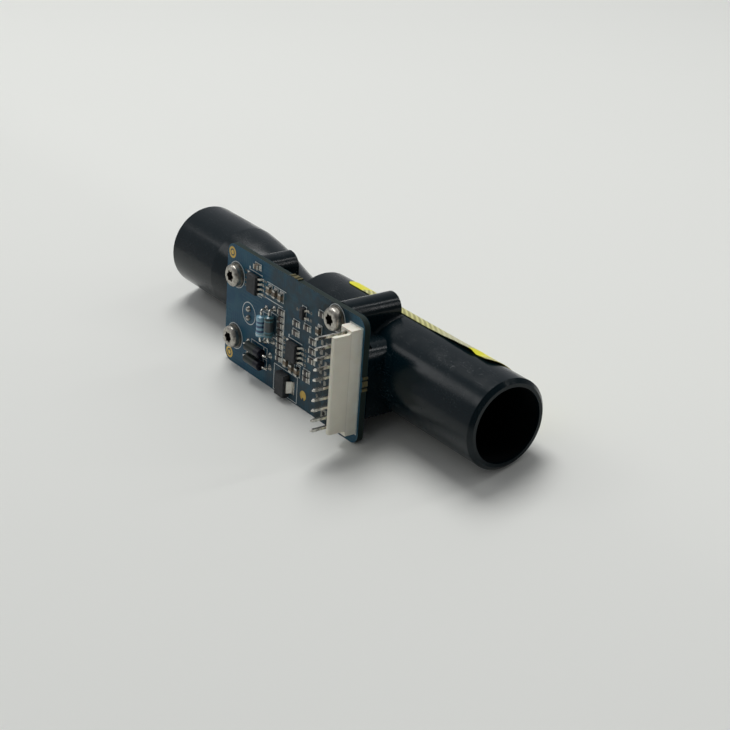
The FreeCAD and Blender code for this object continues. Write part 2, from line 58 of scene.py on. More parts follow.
class Wire:  # a node socket that can stand in a sum
    def __init__(self, tree, socket=None):
        self.tree = tree
        self.socket = socket

    def node(self, kind, settings=None, inputs=None, out=0):  # any node: settings first, then its sockets
        made = self.tree.nodes.new("ShaderNode" + kind)
        for name, value in (settings or {}).items():
            setattr(made, name, value)
        for name, value in (inputs or {}).items():
            self.feed(made.inputs[name], value)
        return Wire(self.tree, made.outputs[out])

    def feed(self, socket, value):
        if isinstance(value, Wire):
            self.tree.links.new(value.socket, socket)
        else:
            socket.default_value = value

    def math(self, operation, *values):
        return self.node("Math", {"operation": operation}, dict(enumerate(values)))

    def __add__(self, other):
        return self.math("ADD", self, other)

    def __radd__(self, other):
        return self.math("ADD", other, self)

    def __sub__(self, other):
        return self.math("SUBTRACT", self, other)

    def __rsub__(self, other):
        return self.math("SUBTRACT", other, self)

    def __mul__(self, other):
        return self.math("MULTIPLY", self, other)

    def __rmul__(self, other):
        return self.math("MULTIPLY", other, self)

    def __abs__(self):
        return self.math("ABSOLUTE", self)

    def step(self, low, high):  # soft step from 0 at low to 1 at high
        return self.node("MapRange", {"interpolation_type": "SMOOTHSTEP"},
                         {"Value": self, "From Min": low, "From Max": high})

    def vector(self, operation, *values, out="Vector"):
        return self.node("VectorMath", {"operation": operation}, dict(enumerate(values)), out)

    def axis(self, at, name):  # one of X, Y, Z
        return self.node("SeparateXYZ", None, {"Vector": at}, name)

    def stretch(self, at, across, along, up):
        return self.vector("MULTIPLY", at, (across, along, up))

    def place(self):  # where the point is in the shared frame, in mm
        return self.stretch(self.node("TexCoord", out="Object"), 1 / mm, 1 / mm, 1 / mm)

    def blend(self, factor, first, second):  # two colours
        return self.node("Mix", {"data_type": "RGBA"}, {0: factor, 6: first, 7: second}, 2)

    def noise(self, at, scale, detail, rough=0.5):
        inputs = {"Vector": at, "Scale": scale, "Detail": detail, "Roughness": rough}
        return self.node("TexNoise", None, inputs)

    def specks(self, at, scale, size):  # scattered dots
        cell = self.node("TexVoronoi", None, {"Vector": at, "Scale": scale}, "Distance")
        return cell.step(size, size * 0.5)

    def bump(self, height, distance, strength):
        return self.node("Bump", None, {"Height": height, "Distance": distance * mm, "Strength": strength})


def makeFinish(name, wiring, fixed):
    finish = bpy.data.materials.new(name)
    finish.use_nodes = True
    tree = finish.node_tree
    shader = tree.nodes["Principled BSDF"]
    for socket, value in fixed.items():
        shader.inputs[socket].default_value = value
    wire = Wire(tree)
    for socket, value in wiring(wire).items():
        wire.feed(shader.inputs[socket], value)
    return finish


def coat(finish, *names):  # gives CAD nodes their finish
    for name in names:
        for slot in nodes[name].material_slots:
            slot.material = finish


# separate solids of a node, as boxes in mm, from the top of the board down
def solidBoxes(name):
    mesh = nodes[name].data
    leader = {}

    def lead(key):
        while leader.setdefault(key, key) != key:
            key = leader[key]
        return key

    keys = [tuple(round(part * 1e6) for part in vert.co) for vert in mesh.vertices]
    for face in mesh.polygons:
        for corner in face.vertices[1:]:
            leader[lead(keys[corner])] = lead(keys[face.vertices[0]])
    groups = {}
    for key in keys:
        groups.setdefault(lead(key), []).append(key)
    boxes = []
    for group in groups.values():
        low = Vector([min(key[axis] for key in group) / 1000 for axis in range(3)])
        high = Vector([max(key[axis] for key in group) / 1000 for axis in range(3)])
        boxes.append((low, high))
    return sorted(boxes, key=lambda box: (-round(box[1].z, 2), round(box[0].x, 2)))


def middleOf(low, high):
    return (low + high) / 2


def solidMiddles(name):
    return [middleOf(low, high) for low, high in solidBoxes(name)]


class Stock:  # corners and faces of a piece while it is built, from points in mm
    def __init__(self):
        self.corners = []
        self.faces = []

    def addRings(self, rings):  # tells at which corner each ring starts
        starts = []
        for ring in rings:
            starts.append(len(self.corners))
            self.corners.extend(Vector(point) * mm for point in ring)
        return starts

    def addBand(self, low, high, count):  # faces between two rings
        for k in range(count):
            after = (k + 1) % count
            self.faces.append((low + k, low + after, high + after, high + k))

    def loft(self, rings):  # closed rings with the same number of points, capped at both ends
        count = len(rings[0])
        starts = self.addRings(rings)
        for low, high in zip(starts, starts[1:]):
            self.addBand(low, high, count)
        first, last = starts[0], starts[-1]
        self.faces.append(tuple(reversed(range(first, first + count))))
        self.faces.append(tuple(range(last, last + count)))

    def hoop(self, rings):  # rings that close on themselves, as round a hole
        starts = self.addRings(rings)
        for low, high in zip(starts, starts[1:] + starts[:1]):
            self.addBand(low, high, len(rings[0]))


def makePiece(name, stock, finish, crease=35):
    mesh = bpy.data.meshes.new(name)
    mesh.from_pydata(stock.corners, [], stock.faces)
    work = bmesh.new()
    work.from_mesh(mesh)
    bmesh.ops.recalc_face_normals(work, faces=work.faces)
    work.to_mesh(mesh)
    work.free()
    mesh.shade_smooth()
    mesh.set_sharp_from_angle(angle=math.radians(crease))
    mesh.materials.append(finish)
    piece = bpy.data.objects.new(name, mesh)
    bpy.context.scene.collection.objects.link(piece)
    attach(piece, "root")
    return piece


def onBoard(x, z, up, back=False):  # point over the front or the back of the board
    return (x, backY + up if back else frontY - up, z)


def circle(x, z, radius, up, back=False, count=24):
    turns = [2 * math.pi * k / count for k in range(count)]
    return [onBoard(x + radius * math.cos(turn), z + radius * math.sin(turn), up, back) for turn in turns]


def addBar(stock, x0, x1, z0, z1, high):
    corners = [(x0, z0), (x1, z0), (x1, z1), (x0, z1)]
    stock.loft([[onBoard(x, z, up) for x, z in corners] for up in (0, high)])


def addFrame(stock, x0, x1, z0, z1, line, high):
    addBar(stock, x0, x1, z0, z0 + line, high)
    addBar(stock, x0, x1, z1 - line, z1, high)
    addBar(stock, x0, x0 + line, z0 + line, z1 - line, high)
    addBar(stock, x1 - line, x1, z0 + line, z1 - line, high)


def addHoop(stock, x, z, inner, outer, high):
    steps = [(outer, 0), (outer, high), (inner, high), (inner, 0)]
    stock.hoop([circle(x, z, radius, up) for radius, up in steps])


def addSpun(stock, x, z, profile, back=False):  # profile of (radius, height off the board)
    stock.loft([circle(x, z, radius, up, back, 16) for radius, up in profile])


# camera, fitted to the tube, the board and the pins in the picture
shot = {
    "eye": (0.2482, -0.2352, 0.1659),
    "aim": (-0.0547, 0.0018, -0.0078),
    "roll": 4.08,  # degrees
    "lens": 85.0,
    "sensor": 36.0,
    "clip": (0.01, 50.0),
}


def placeCamera():
    data = bpy.data.cameras.new("shotCamera")
    data.lens = shot["lens"]
    data.sensor_width = shot["sensor"]
    data.clip_start, data.clip_end = shot["clip"]
    camera = bpy.data.objects.new("shotCamera", data)
    bpy.context.scene.collection.objects.link(camera)
    eye = Vector(shot["eye"])
    turn = (Vector(shot["aim"]) - eye).to_track_quat("-Z", "Y").to_matrix().to_4x4()
    roll = Matrix.Rotation(math.radians(shot["roll"]), 4, "Z")
    camera.matrix_world = Matrix.Translation(eye) @ turn @ roll
    bpy.context.scene.camera = camera


placeCamera()
print("camera placed")

# floor: it touches the tube and the low edge of the board, and levels out behind the tube
floorSet = {
    "reach": 4.0,
    "bend": 0.12,
    "bendSteps": 16,
    "gap": 0.0001,
    "pale": (240, 241, 236),
    "shade": (235, 236, 231),
    "rough": 0.55,
}


def floorWiring(wire):
    cloud = wire.noise(wire.place(), 0.004, 2)
    colour = wire.blend(cloud, paint(*floorSet["pale"]), paint(*floorSet["shade"]))
    return {"Base Color": colour, "Roughness": floorSet["rough"] + 0.1 * cloud}


def floorLine():  # side view of the floor, as (y, z)
    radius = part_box("inlet_cone")[1].y + floorSet["gap"]
    edge = boardLow * mm
    away = math.hypot(edge.y, edge.z)
    lean = math.acos(radius / away) - math.atan2(-edge.y, -edge.z)
    down = Vector((math.sin(lean), -math.cos(lean)))
    slope = Vector((math.cos(lean), math.sin(lean)))
    touch = down * radius
    middle = touch + down * floorSet["bend"]
    line = [touch - slope * floorSet["reach"]]
    for k in range(floorSet["bendSteps"] + 1):
        turn = lean * (1 - k / floorSet["bendSteps"])
        line.append(middle + Vector((-math.sin(turn), math.cos(turn))) * floorSet["bend"])
    line.append(line[-1] + Vector((floorSet["reach"], 0)))
    return line


def makeFloor():
    line = floorLine()
    reach = floorSet["reach"]
    corners = [(x, y, z) for y, z in line for x in (-reach, reach)]
    faces = [(2 * k, 2 * k + 1, 2 * k + 3, 2 * k + 2) for k in range(len(line) - 1)]
    mesh = bpy.data.meshes.new("floor")
    mesh.from_pydata(corners, [], faces)
    mesh.shade_smooth()
    mesh.materials.append(makeFinish("paleFloor", floorWiring, {"Specular IOR Level": 0.2}))
    floor = bpy.data.objects.new("floor", mesh)
    bpy.context.scene.collection.objects.link(floor)


makeFloor()

# soft studio light: a dim room, paler to the left, a broad lamp overhead, a small window and two thin lamps
roomSet = {
    "rightWall": (0.115, 0.117, 0.12, 1),
    "leftWall": (0.39, 0.395, 0.41, 1),
    "fade": 0.6,  # how far to either side the change from wall to wall reaches
}
lampSet = {
    "overheadLamp": {"at": (-0.43, 0.09, 1.0), "size": (0.6, 0.5), "watts": 6.6},
    "windowLamp": {"at": (-0.452, -0.278, 0.326), "size": (0.2, 0.16), "watts": 0.17},
    "ceilingLampNear": {"at": (0.26, 0.61, 0.87), "size": (0.035, 0.5), "watts": 0.75},
    "ceilingLampFar": {"at": (0.656, 0.609, 0.599), "size": (0.035, 0.5), "watts": 0.55},
}


def lightRoom():
    world = bpy.data.worlds.new("room")
    bpy.context.scene.world = world
    world.use_nodes = True
    wire = Wire(world.node_tree)
    across = wire.axis(wire.node("TexCoord", out="Generated"), "X")
    leftward = across.step(roomSet["fade"], -roomSet["fade"])
    colour = wire.blend(leftward, roomSet["rightWall"], roomSet["leftWall"])
    wire.feed(world.node_tree.nodes["Background"].inputs["Color"], colour)


def hangLamp(name, lamp):
    data = bpy.data.lights.new(name, "AREA")
    data.shape = "RECTANGLE"
    data.size, data.size_y = lamp["size"]
    data.energy = lamp["watts"]
    light = bpy.data.objects.new(name, data)
    light.location = lamp["at"]
    away = Vector(lamp["at"]) - Vector(shot["aim"])
    light.rotation_mode = "QUATERNION"
    light.rotation_quaternion = away.to_track_quat("Z", "Y")
    bpy.context.scene.collection.objects.link(light)


lightRoom()
for lampName, lamp in lampSet.items():
    hangLamp(lampName, lamp)
bpy.context.scene.view_settings.view_transform = "Standard"
print("floor and light set")

# black moulded tube: soft sheen, fine grain, light rubbing marks, a little dust, and painted shade inside
# the bore near either port
tubeSet = {
    "deep": (3, 20, 26),
    "worn": (20, 32, 36),
    "scuff": (74, 80, 82),
    "dust": (120, 120, 116),
    "boreShade": (2, 3, 4),
    "rough": 0.17,
    "bore": 9.9,  # mm, near either port anything closer to the axis is painted with shade inside the passage
    "darkNear": (0.1, 1.5),  # mm in from a port, no painted shade at the first and full painted shade at the second
    "darkDeep": (30, 22),  # the same further in
}


def tubeWiring(wire):
    at = wire.place()
    half = -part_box("inlet_cone")[0].x / mm / 2  # half the length of the whole tube
    cloud = wire.noise(at, 0.16, 4, 0.6)
    grain = wire.noise(at, 14, 3)
    rubs = wire.noise(wire.stretch(at, 0.35, 5, 5), 1.0, 4, 0.65).step(0.56, 0.72)
    scuffs = wire.noise(at, 1.7, 5, 0.7).step(0.54, 0.7) * wire.noise(at, 0.12, 2).step(0.45, 0.6)
    dust = wire.specks(at, 0.9, 0.06) * wire.noise(at, 0.3, 2).step(0.5, 0.62)
    fromAxis = wire.vector("LENGTH", wire.stretch(at, 0, 1, 1), out="Value")
    fromMiddle = abs(wire.axis(at, "X") + half)
    boreShadeMask = fromAxis.step(tubeSet["bore"], tubeSet["bore"] - 0.6)
    for none, full in (tubeSet["darkDeep"], tubeSet["darkNear"]):
        boreShadeMask = boreShadeMask * fromMiddle.step(half - none, half - full)
    colour = wire.blend(rubs * cloud * 0.35, paint(*tubeSet["deep"]), paint(*tubeSet["worn"]))
    colour = wire.blend(scuffs * 0.3, colour, paint(*tubeSet["scuff"]))
    colour = wire.blend(dust * 0.5, colour, paint(*tubeSet["dust"]))
    # painted shade: the bore near either port is darkened
    colour = wire.blend(boreShadeMask * 0.8, colour, paint(*tubeSet["boreShade"]))
    rough = tubeSet["rough"] + 0.1 * cloud.step(0.35, 0.7) + 0.1 * rubs
    rough = rough + 0.12 * scuffs + 0.3 * dust + 0.3 * boreShadeMask
    height = grain * 0.5 + rubs * 0.3 + scuffs * 0.5 + dust
    return {"Base Color": colour, "Roughness": rough, "Normal": wire.bump(height, 0.012, 0.35)}


tubeBlack = makeFinish("tubeBlack", tubeWiring, {"Specular IOR Level": 0.24})
coat(tubeBlack, "inlet_cone", "tube_body")

# blue-green board: solder mask over woven glass and copper, dark cut edges, bare laminate on the tab stubs,
# and painted shade among the crowded parts and behind the pins
boardSet = {
    "mask": (40, 88, 108),
    "maskDeep": (30, 74, 102),
    "copper": (54, 98, 112),
    "edge": (44, 56, 52),
    "edgeDark": (18, 30, 32),
    "tab": (122, 112, 76),
    "crowdShade": {"x": -56, "half": 15, "tone": (56, 65, 66)},  # painted shade over the crowded part
    "pinStripShade": {"x": -43.5, "half": 6.5, "tone": (26, 30, 27)},  # and painted shade over the strip behind the pins
    "weave": 0.55,  # mm between threads
    "trace": 0.9,  # mm between the copper lines under the mask
    "rough": 0.3,
}


def boardCopper(wire, at, x, z):  # fields of lines that run along or across, and bare fields
    fields = wire.node("TexVoronoi", {"distance": "CHEBYCHEV"}, {"Vector": at, "Scale": 0.16}, "Color")
    lottery = wire.axis(fields, "X")
    run = z + (x - z) * lottery.step(0.49, 0.51)
    lines = wire.math("SINE", run * (2 * math.pi / boardSet["trace"]))
    return lines.step(0.35, 0.6) * lottery.step(0.2, 0.22)


def boardWiring(wire):
    at = wire.place()
    x, y, z = (wire.axis(at, name) for name in "XYZ")
    side = (abs(y - (frontY + backY) / 2) - (backY - frontY) / 2).step(-0.015, -0.04)
    cloud = wire.noise(at, 0.25, 4, 0.6)
    turn = 2 * math.pi / boardSet["weave"]
    weave = wire.math("SINE", x * turn) * wire.math("SINE", z * turn)
    copper = boardCopper(wire, at, x, z)
    mask = wire.blend(cloud.step(0.3, 0.7), paint(*boardSet["mask"]), paint(*boardSet["maskDeep"]))
    mask = wire.blend(copper * 0.4, mask, paint(*boardSet["copper"]))
    # painted shade: the mask darkens, in patches, over the crowded parts and the strip behind the pins
    shadePatches = wire.noise(at, 0.5, 3).step(0.3, 0.6)
    for strip in (boardSet["crowdShade"], boardSet["pinStripShade"]):
        nearX = (abs(x - strip["x"]) - strip["half"]).step(2, -2)
        mask = wire.blend(nearX * (0.3 + 0.4 * shadePatches), mask, paint(*strip["tone"]))
    layers = wire.math("SINE", y * 24 + wire.noise(at, 2.5, 2) * 4) * 0.5 + 0.5
    edge = wire.blend(layers * wire.noise(at, 3, 3), paint(*boardSet["edge"]), paint(*boardSet["edgeDark"]))
    tabs = wire.math("MAXIMUM", z.step(boardHigh.z - 0.25, boardHigh.z - 0.15),
                     x.step(boardHigh.x - 0.25, boardHigh.x - 0.15))
    fibres = wire.noise(wire.stretch(at, 1, 6, 1), 1.6, 3).step(0.4, 0.6)
    edge = wire.blend(tabs * (0.35 + 0.65 * fibres), edge, paint(*boardSet["tab"]))
    rough = boardSet["rough"] + 0.12 * cloud + 0.3 * side
    height = weave * 0.3 + wire.noise(at, 6, 3) * 0.5 + layers * side * 3 + copper
    return {"Base Color": wire.blend(side, mask, edge), "Roughness": rough,
            "Normal": wire.bump(height, 0.012, 0.35)}


boardBlue = makeFinish("boardBlue", boardWiring, {"Specular IOR Level": 0.15})
coat(boardBlue, "circuit_board")
print("tube and board coated")

# cream nylon header, with a fine seam where its lock wall meets the base: a bumped groove with painted
# shade along it
headerSet = {
    "cream": (252, 249, 234),
    "shade": (242, 237, 218),
    "wall": (243, 238, 219),
    "rough": 0.42,
    "base": 3.0,  # mm off the board, where the lock wall rises from the base
}


def headerWiring(wire):
    at = wire.place()
    cloud = wire.noise(at, 0.35, 4, 0.55)
    flow = wire.noise(wire.stretch(at, 3, 3, 0.3), 1.2, 3)
    up = frontY - wire.axis(at, "Y")
    onWall = up.step(headerSet["base"] - 0.05, headerSet["base"] + 0.05)
    seamGrooveAndShade = abs(up - headerSet["base"]).step(0.16, 0.04)
    colour = wire.blend(cloud.step(0.3, 0.9), paint(*headerSet["cream"]), paint(*headerSet["shade"]))
    colour = wire.blend(onWall * 0.5, colour, paint(*headerSet["wall"]))
    # painted shade along the seam groove
    colour = wire.blend(seamGrooveAndShade * 0.15, colour, paint(*headerSet["wall"], share=0.6))
    rough = headerSet["rough"] + 0.14 * flow
    height = flow + wire.noise(at, 9, 2) - seamGrooveAndShade * 3
    return {"Base Color": colour, "Roughness": rough, "Normal": wire.bump(height, 0.01, 0.25)}


headerFixed = {"Subsurface Weight": 0.08, "Subsurface Scale": 0.0006}
coat(makeFinish("headerCream", headerWiring, headerFixed), "header_housing")

# bright drawn tin on pins and wires
tinSet = {"bright": (234, 232, 224), "dull": (138, 136, 128), "rough": 0.14}


def tinWiring(wire):
    at = wire.place()
    cloud = wire.noise(at, 0.9, 4, 0.6)
    drawn = wire.noise(wire.stretch(at, 8, 0.8, 8), 1.4, 3)
    colour = wire.blend(cloud.step(0.35, 0.7), paint(*tinSet["bright"]), paint(*tinSet["dull"]))
    rough = tinSet["rough"] + 0.14 * drawn
    return {"Base Color": colour, "Roughness": rough, "Normal": wire.bump(drawn, 0.008, 0.3)}


tinBright = makeFinish("tinBright", tinWiring, {"Metallic": 1.0})
coat(tinBright, "header_pins", "bridge_wires", "diode_wires", "probe_posts")

# turned stainless screws, their sockets painted dark brown
screwSet = {
    "steel": (196, 192, 182),
    "dull": (138, 134, 126),
    "socketBrown": (50, 41, 32),
    "rough": 0.3,
    "socket": 1.6,  # mm from the middle, where the dark brown of the sockets ends
}
screwMiddles = solidMiddles("board_screws")


def screwWiring(wire):
    at = wire.place()
    away = None
    for middle in screwMiddles:
        across = wire.stretch(wire.vector("SUBTRACT", at, tuple(middle)), 1, 0, 1)
        length = wire.vector("LENGTH", across, out="Value")
        away = length if away is None else wire.math("MINIMUM", away, length)
    below = wire.axis(at, "Y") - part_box("board_screws")[0].y / mm  # mm under the top of the heads
    turned = wire.math("SINE", away * 46 + wire.noise(at, 1.5, 2) * 3)
    cloud = wire.noise(at, 1.2, 4, 0.6)
    socket = away.step(screwSet["socket"], screwSet["socket"] - 0.1) * below.step(0.05, 0.3)
    colour = wire.blend(cloud.step(0.3, 0.75), paint(*screwSet["steel"]), paint(*screwSet["dull"]))
    # the sockets are painted dark brown
    colour = wire.blend(socket * 0.9, colour, paint(*screwSet["socketBrown"]))
    rough = screwSet["rough"] + 0.14 * cloud + 0.3 * socket
    return {"Base Color": colour, "Roughness": rough, "Normal": wire.bump(turned, 0.004, 0.25)}


coat(makeFinish("screwSteel", screwWiring, {"Metallic": 1.0}), "board_screws")

# plain mixed finishes: light and dark clouds of one colour, metal or not
smallSet = {
    # washer steel is painted darker: painted shade behind the screw heads
    "shadedWasherSteel": {"light": (150, 148, 141), "dark": (84, 83, 79), "rough": 0.36, "metal": 1.0},
    "insertBrass": {"light": (196, 160, 92), "dark": (150, 116, 60), "rough": 0.35, "metal": 1.0},
    "sealRubber": {"light": (32, 32, 33), "dark": (18, 18, 19), "rough": 0.62, "metal": 0.0},
    "plugPlastic": {"light": (66, 66, 69), "dark": (44, 44, 47), "rough": 0.5, "metal": 0.0},
    "filmCeramic": {"light": (222, 219, 210), "dark": (190, 186, 174), "rough": 0.4, "metal": 0.0},
    "padGold": {"light": (238, 206, 118), "dark": (150, 120, 58), "rough": 0.32, "metal": 1.0},
    "leadTin": {"light": (248, 246, 238), "dark": (190, 187, 178), "rough": 0.28, "metal": 1.0},
    "solderTin": {"light": (216, 214, 206), "dark": (92, 91, 86), "rough": 0.16, "metal": 1.0},
    "padTin": {"light": (176, 174, 166), "dark": (80, 79, 75), "rough": 0.26, "metal": 1.0},
    "printWhite": {"light": (240, 243, 240), "dark": (186, 196, 196), "rough": 0.6, "metal": 0.0},
    # dark discs of painted shade in the holes
    "holeShade": {"light": (16, 17, 17), "dark": (6, 7, 7), "rough": 0.7, "metal": 0.0},
}


def smallFinish(name):
    given = smallSet[name]

    def wiring(wire):
        at = wire.place()
        cloud = wire.noise(at, 1.1, 4, 0.6)
        grain = wire.noise(at, 11, 2)
        colour = wire.blend(cloud, paint(*given["light"]), paint(*given["dark"]))
        return {"Base Color": colour, "Roughness": given["rough"] + 0.15 * grain,
                "Normal": wire.bump(grain, 0.01, 0.3)}

    return makeFinish(name, wiring, {"Metallic": given["metal"]})


# the washers carry painted shade
coat(smallFinish("shadedWasherSteel"), "screw_washers")
coat(smallFinish("insertBrass"), "thread_inserts")
coat(smallFinish("sealRubber"), "joint_ring", "probe_seal")
coat(smallFinish("plugPlastic"), "probe_plug")
coat(smallFinish("filmCeramic"), "film_element")
coat(smallFinish("leadTin"), "amplifier_leads", "transistor_leads", "power_tabs")
solderTin = smallFinish("solderTin")
coat(solderTin, "chip_ends")

# black epoxy packages: fine grain and greyer worn patches
packageSet = {"black": (34, 36, 39), "grey": (64, 66, 68), "rough": 0.5}


def packageWiring(wire):
    at = wire.place()
    cloud = wire.noise(at, 0.8, 3, 0.6)
    grain = wire.noise(at, 18, 3, 0.7)
    wear = cloud.step(0.3, 0.8) * 0.7 + grain * 0.3
    colour = wire.blend(wear, paint(*packageSet["black"]), paint(*packageSet["grey"]))
    return {"Base Color": colour, "Roughness": packageSet["rough"] + 0.2 * grain,
            "Normal": wire.bump(grain, 0.02, 0.35)}


packageBlack = makeFinish("packageBlack", packageWiring, {"Specular IOR Level": 0.4})
coat(packageBlack, "amplifier_bodies", "transistor_body", "power_block")

# diodes: dull green-grey bodies with a dark band at the right end
diodeSet = {"body": (38, 48, 43), "band": (14, 16, 30), "bandLength": 2.1, "rough": 0.24}


def diodeWiring(wire):
    at = wire.place()
    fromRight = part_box("diode_bodies")[1].x / mm - wire.axis(at, "X")
    cloud = wire.noise(at, 1.5, 3)
    band = fromRight.step(diodeSet["bandLength"] + 0.05, diodeSet["bandLength"] - 0.05)
    colour = wire.blend(cloud * 0.4, paint(*diodeSet["body"]), paint(*diodeSet["body"], share=0.7))
    colour = wire.blend(band, colour, paint(*diodeSet["band"]))
    rough = diodeSet["rough"] + 0.16 * cloud
    return {"Base Color": colour, "Roughness": rough, "Normal": wire.bump(cloud, 0.01, 0.2)}


coat(makeFinish("diodeGlaze", diodeWiring, {"Specular IOR Level": 0.28}), "diode_bodies")

# bridge resistors: lacquered bodies with colour bands, each (height from the middle, half width, colour)
resistorSet = {
    "left": {
        "body": (146, 196, 216),
        "bands": [(1.2, 0.25, (40, 70, 120)), (0.1, 0.3, (32, 58, 112)), (-1.1, 0.3, (30, 56, 110)),
                  (-2.0, 0.2, (206, 222, 228))],
    },
    "right": {
        "body": (66, 118, 130),
        "bands": [(2.1, 0.28, (34, 42, 34)), (0.0, 1.15, (56, 60, 62)), (1.3, 0.16, (50, 58, 52)),
                  (-1.75, 0.2, (44, 74, 78))],
    },
    "rough": 0.22,
}


def resistorWiring(wire):
    at = wire.place()
    x, z = wire.axis(at, "X"), wire.axis(at, "Z")
    cloud = wire.noise(at, 1.3, 3)
    boxes = sorted(solidBoxes("bridge_resistors"), key=lambda box: box[0].x)
    sides = []
    for box, given in zip(boxes, (resistorSet["left"], resistorSet["right"])):
        along = z - middleOf(*box).z
        colour = wire.blend(cloud * 0.3, paint(*given["body"]), paint(*given["body"], share=0.8))
        for place, half, tint in given["bands"]:
            band = (abs(along - place) - half).step(0.05, -0.05)
            colour = wire.blend(band * (0.8 + 0.2 * cloud), colour, paint(*tint))
        sides.append(colour)
    between = (boxes[0][1].x + boxes[1][0].x) / 2
    colour = wire.blend(x.step(between - 0.05, between + 0.05), *sides)
    rough = resistorSet["rough"] + 0.14 * cloud
    return {"Base Color": colour, "Roughness": rough, "Normal": wire.bump(cloud, 0.02, 0.25)}


resistorFixed = {"Coat Weight": 0.4, "Coat Roughness": 0.15}
coat(makeFinish("resistorLacquer", resistorWiring, resistorFixed), "bridge_resistors")

# chips: dark glazed resistors and fired tan capacitors, each a little different
chipSet = {
    "darkChip": {"node": "resistor_chips", "light": (72, 61, 56), "dark": (14, 13, 14), "rough": 0.3},
    "tanChip": {"node": "capacitor_chips", "light": (146, 130, 108), "dark": (90, 79, 66), "rough": 0.45},
}
chipHalf = {"along": 1.0, "across": 0.6}  # mm, half a chip with its tin ends


def chipFinish(name):
    given = chipSet[name]

    def wiring(wire):
        at = wire.place()
        lots = wire.noise(at, 0.3, 1).step(0.4, 0.6)
        grain = wire.noise(at, 7, 3)
        colour = wire.blend(lots * 0.7 + grain * 0.3, paint(*given["dark"]), paint(*given["light"]))
        return {"Base Color": colour, "Roughness": given["rough"] + 0.15 * grain,
                "Normal": wire.bump(grain, 0.015, 0.3)}

    return makeFinish(name, wiring, {"Specular IOR Level": 0.5})


for chipName, chip in chipSet.items():
    coat(chipFinish(chipName), chip["node"])
print("parts coated")

# places of the parts, read from the CAD solids
chipBoxes = solidBoxes("resistor_chips") + solidBoxes("capacitor_chips")
pinMiddles = solidMiddles("header_pins")
postMiddles = solidMiddles("probe_posts")


def isUpright(low, high):
    return high.z - low.z < high.x - low.x  # the bare middle of a chip is shorter than it is wide


def nearest(middle, others):
    return min(others, key=lambda other: (other - middle).length)


def leadToes():  # (x of the toe, z, side, width) of every flat lead
    found = []
    for leads, bodies in (("amplifier_leads", "amplifier_bodies"), ("transistor_leads", "transistor_body"),
                          ("power_tabs", "power_block")):
        bodyMiddles = solidMiddles(bodies)
        for low, high in solidBoxes(leads):
            middle = middleOf(low, high)
            side = 1 if middle.x > nearest(middle, bodyMiddles).x else -1
            found.append((high.x if side > 0 else low.x, middle.z, side, high.z - low.z))
    return found


def wireFeet():  # (x, z) where each bent wire goes into the board
    found = []
    for wires, bodies in (("bridge_wires", "bridge_resistors"), ("diode_wires", "diode_bodies")):
        bodyMiddles = solidMiddles(bodies)
        for low, high in solidBoxes(wires):
            middle = middleOf(low, high)
            body = nearest(middle, bodyMiddles)
            wide, tall = high.x - low.x, high.z - low.z
            if wide < tall:
                edge, inward = (high.z, -1) if middle.z > body.z else (low.z, 1)
                found.append((middle.x, edge + inward * wide / 2))
            else:
                edge, inward = (high.x, -1) if middle.x > body.x else (low.x, 1)
                found.append((edge + inward * tall / 2, middle.z))
    return found


toes = leadToes()
feet = wireFeet()

# solder: fillets at chip ends and lead toes, cones round wires, domes over the probe posts
solderSet = {
    "chipReach": 0.3,  # beyond the end of a chip
    "chipSpan": 0.95,  # share of the width of a chip
    "chipClimb": 0.75,  # share of its height
    "toeReach": 0.5,  # beyond the toe of a lead
    "toeBack": 0.55,  # under the lead
    "toeMargin": 0.16,
    "toeInset": 0.14,
    "toeHigh": 0.16,
    "padHigh": 0.04,
    "footCone": [(0.85, 0), (0.85, 0.05), (0.6, 0.22), (0.36, 0.6)],
    "pinCone": [(0.9, 0), (0.9, 0.05), (0.62, 0.45), (0.42, 1.05)],
    "postDome": [(0.85, 0), (0.85, 0.06), (0.68, 0.45), (0.45, 0.74), (0.18, 0.86)],
}


def addWedge(stock, middle, upright, side, half, high):  # run of solder from the end of a chip to the board
    start, reach = chipHalf["along"], solderSet["chipReach"]
    outline = [(start, 0), (start + reach, 0), (start + reach, 0.05), (start + 0.4 * reach, 0.3 * high),
               (start - 0.02, high)]
    rings = []
    for across in (-half, half):
        ring = []
        for along, up in outline:
            shiftX, shiftZ = (across, side * along) if upright else (side * along, across)
            ring.append(onBoard(middle.x + shiftX, middle.z + shiftZ, up))
        rings.append(ring)
    stock.loft(rings)


def addMound(stock, x0, x1, z0, z1, inset, high):  # pad with solder heaped on it
    rings = []
    for part, up in ((0, 0), (0, solderSet["padHigh"]), (0.5, 0.4 * high), (1, high)):
        pull = inset * part
        left, right, low, top = x0 + pull, x1 - pull, z0 + pull, z1 - pull
        rings.append([onBoard(x, z, up) for x, z in ((left, low), (right, low), (right, top), (left, top))])
    stock.loft(rings)


def addSolder():
    stock = Stock()
    for low, high in chipBoxes:
        upright = isUpright(low, high)
        width = high.x - low.x if upright else high.z - low.z
        half = width / 2 * solderSet["chipSpan"]
        climb = (high.y - low.y) * solderSet["chipClimb"]
        for side in (-1, 1):
            addWedge(stock, middleOf(low, high), upright, side, half, climb)
    for x, z, side, width in toes:
        inner, outer = sorted((x - side * solderSet["toeBack"], x + side * solderSet["toeReach"]))
        half = width / 2 + solderSet["toeMargin"]
        addMound(stock, inner, outer, z - half, z + half, solderSet["toeInset"], solderSet["toeHigh"])
    for x, z in feet:
        addSpun(stock, x, z, solderSet["footCone"])
        addSpun(stock, x, z, solderSet["footCone"], True)
    for post in postMiddles:
        addSpun(stock, post.x, post.z, solderSet["postDome"])
        addSpun(stock, post.x, post.z, solderSet["footCone"], True)
    for pin in pinMiddles:
        addSpun(stock, pin.x, pin.z, solderSet["pinCone"], True)
    makePiece("solderJoints", stock, solderTin, 50)


addSolder()
